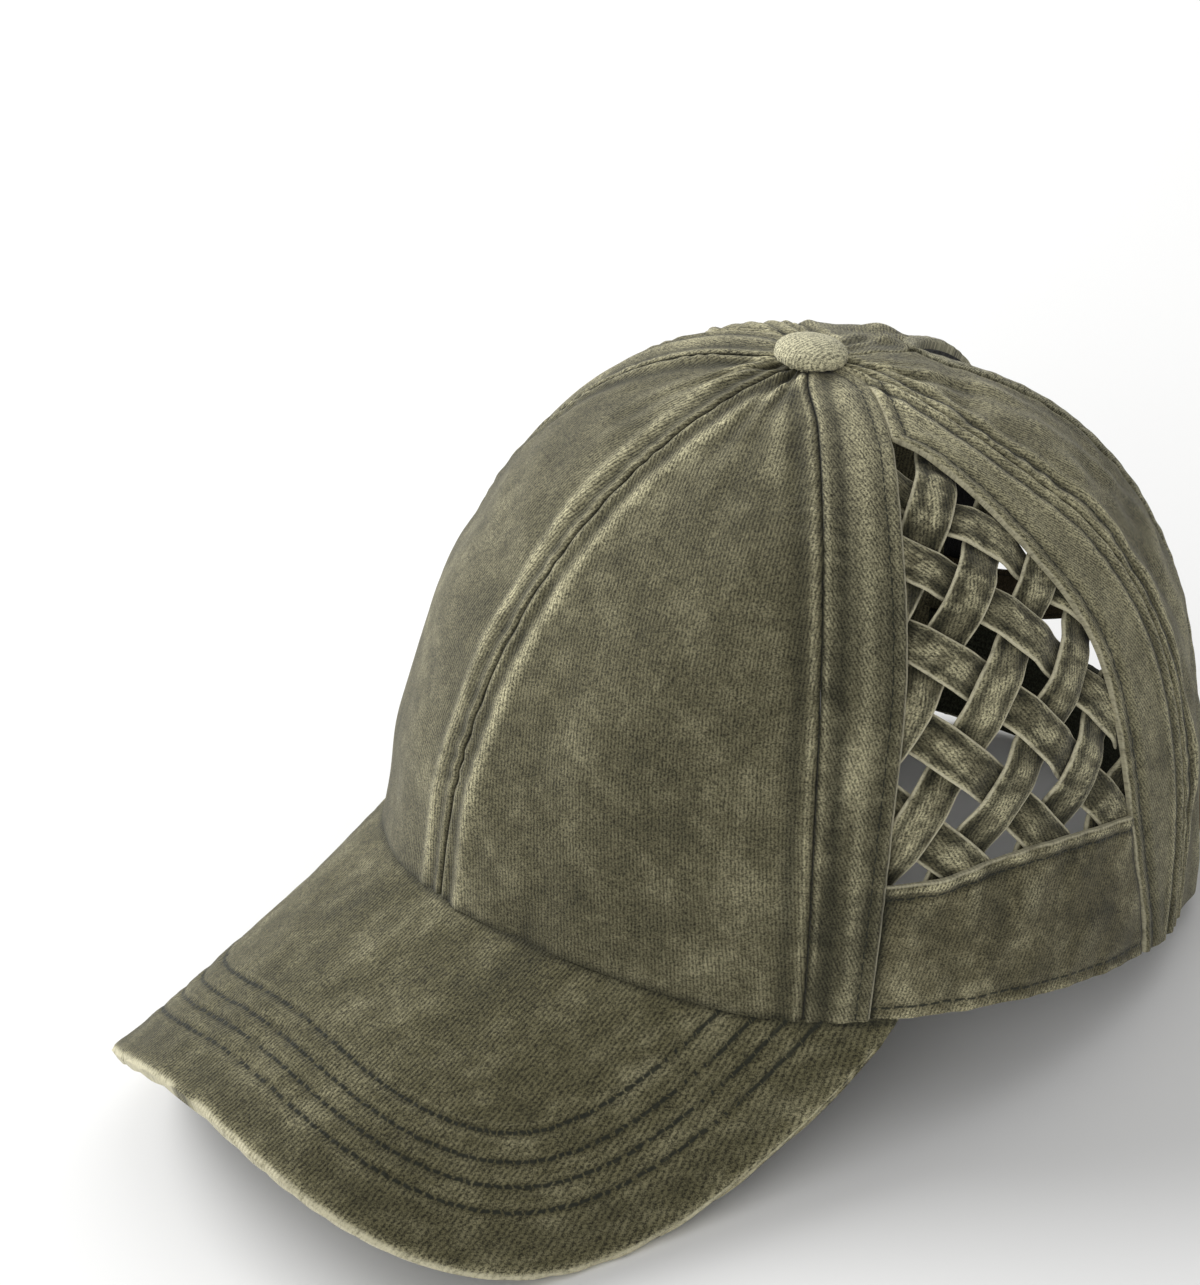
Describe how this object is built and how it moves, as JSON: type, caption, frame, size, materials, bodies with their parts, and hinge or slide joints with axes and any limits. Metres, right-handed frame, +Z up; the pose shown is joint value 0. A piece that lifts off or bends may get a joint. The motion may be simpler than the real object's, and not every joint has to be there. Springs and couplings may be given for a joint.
{
  "type": "ponytail baseball cap",
  "caption": "Washed cotton cap with curved brim, woven lattice in each side, open back crossed by elastic ribbons, closing strap with tab, covered button.",
  "frame": {"origin": "centre of the base of the bounding box, on the surface that the cap rests on", "axes": "+Z up, the brim points to -Y, the wearer's left is +X"},
  "size_m": [0.176, 0.2526, 0.1446],
  "materials": {
    "twill": "washed olive cotton twill, faded",
    "peak": "washed olive cotton twill over a stiff board",
    "strip": "washed olive cotton twill",
    "lattice": "folded olive cotton with frayed pale edges",
    "binding": "rolled pale olive hem",
    "elastic": "ribbed brown olive elastic",
    "strap": "washed olive cotton twill",
    "fastener": "ribbed loop fastener",
    "leather": "brown, matt",
    "black": "black cotton tape",
    "button": "cotton covered button"
  },
  "bodies": {
    "root": {"back_panel_left": "twill", "back_panel_right": "twill", "back_strip_left": "strip", "back_strip_right": "strip", "brim": "peak", "button": "button", "elastic_band_1": "elastic", "elastic_band_2": "elastic", "elastic_band_3": "elastic", "elastic_band_4": "elastic", "front_panel_left": "twill", "front_panel_right": "twill", "front_strip_left": "strip", "front_strip_right": "strip", "lattice_down_1_left": "lattice", "lattice_down_1_right": "lattice", "lattice_down_2_left": "lattice", "lattice_down_2_right": "lattice", "lattice_down_3_left": "lattice", "lattice_down_3_right": "lattice", "lattice_down_4_left": "lattice", "lattice_down_4_right": "lattice", "lattice_down_5_left": "lattice", "lattice_down_5_right": "lattice", "lattice_up_1_left": "lattice", "lattice_up_1_right": "lattice", "lattice_up_2_left": "lattice", "lattice_up_2_right": "lattice", "lattice_up_3_left": "lattice", "lattice_up_3_right": "lattice", "lattice_up_4_left": "lattice", "lattice_up_4_right": "lattice", "lattice_up_5_left": "lattice", "lattice_up_5_right": "lattice", "lattice_up_6_left": "lattice", "lattice_up_6_right": "lattice", "leather_tab": "leather", "opening_binding_left": "binding", "opening_binding_right": "binding", "opening_tape_left": "black", "opening_tape_right": "black", "side_band_left": "strip", "side_band_right": "strip", "strap_inner": "fastener", "strap_outer": "strap", "sweatband": "black"}
  },
  "joints": []
}
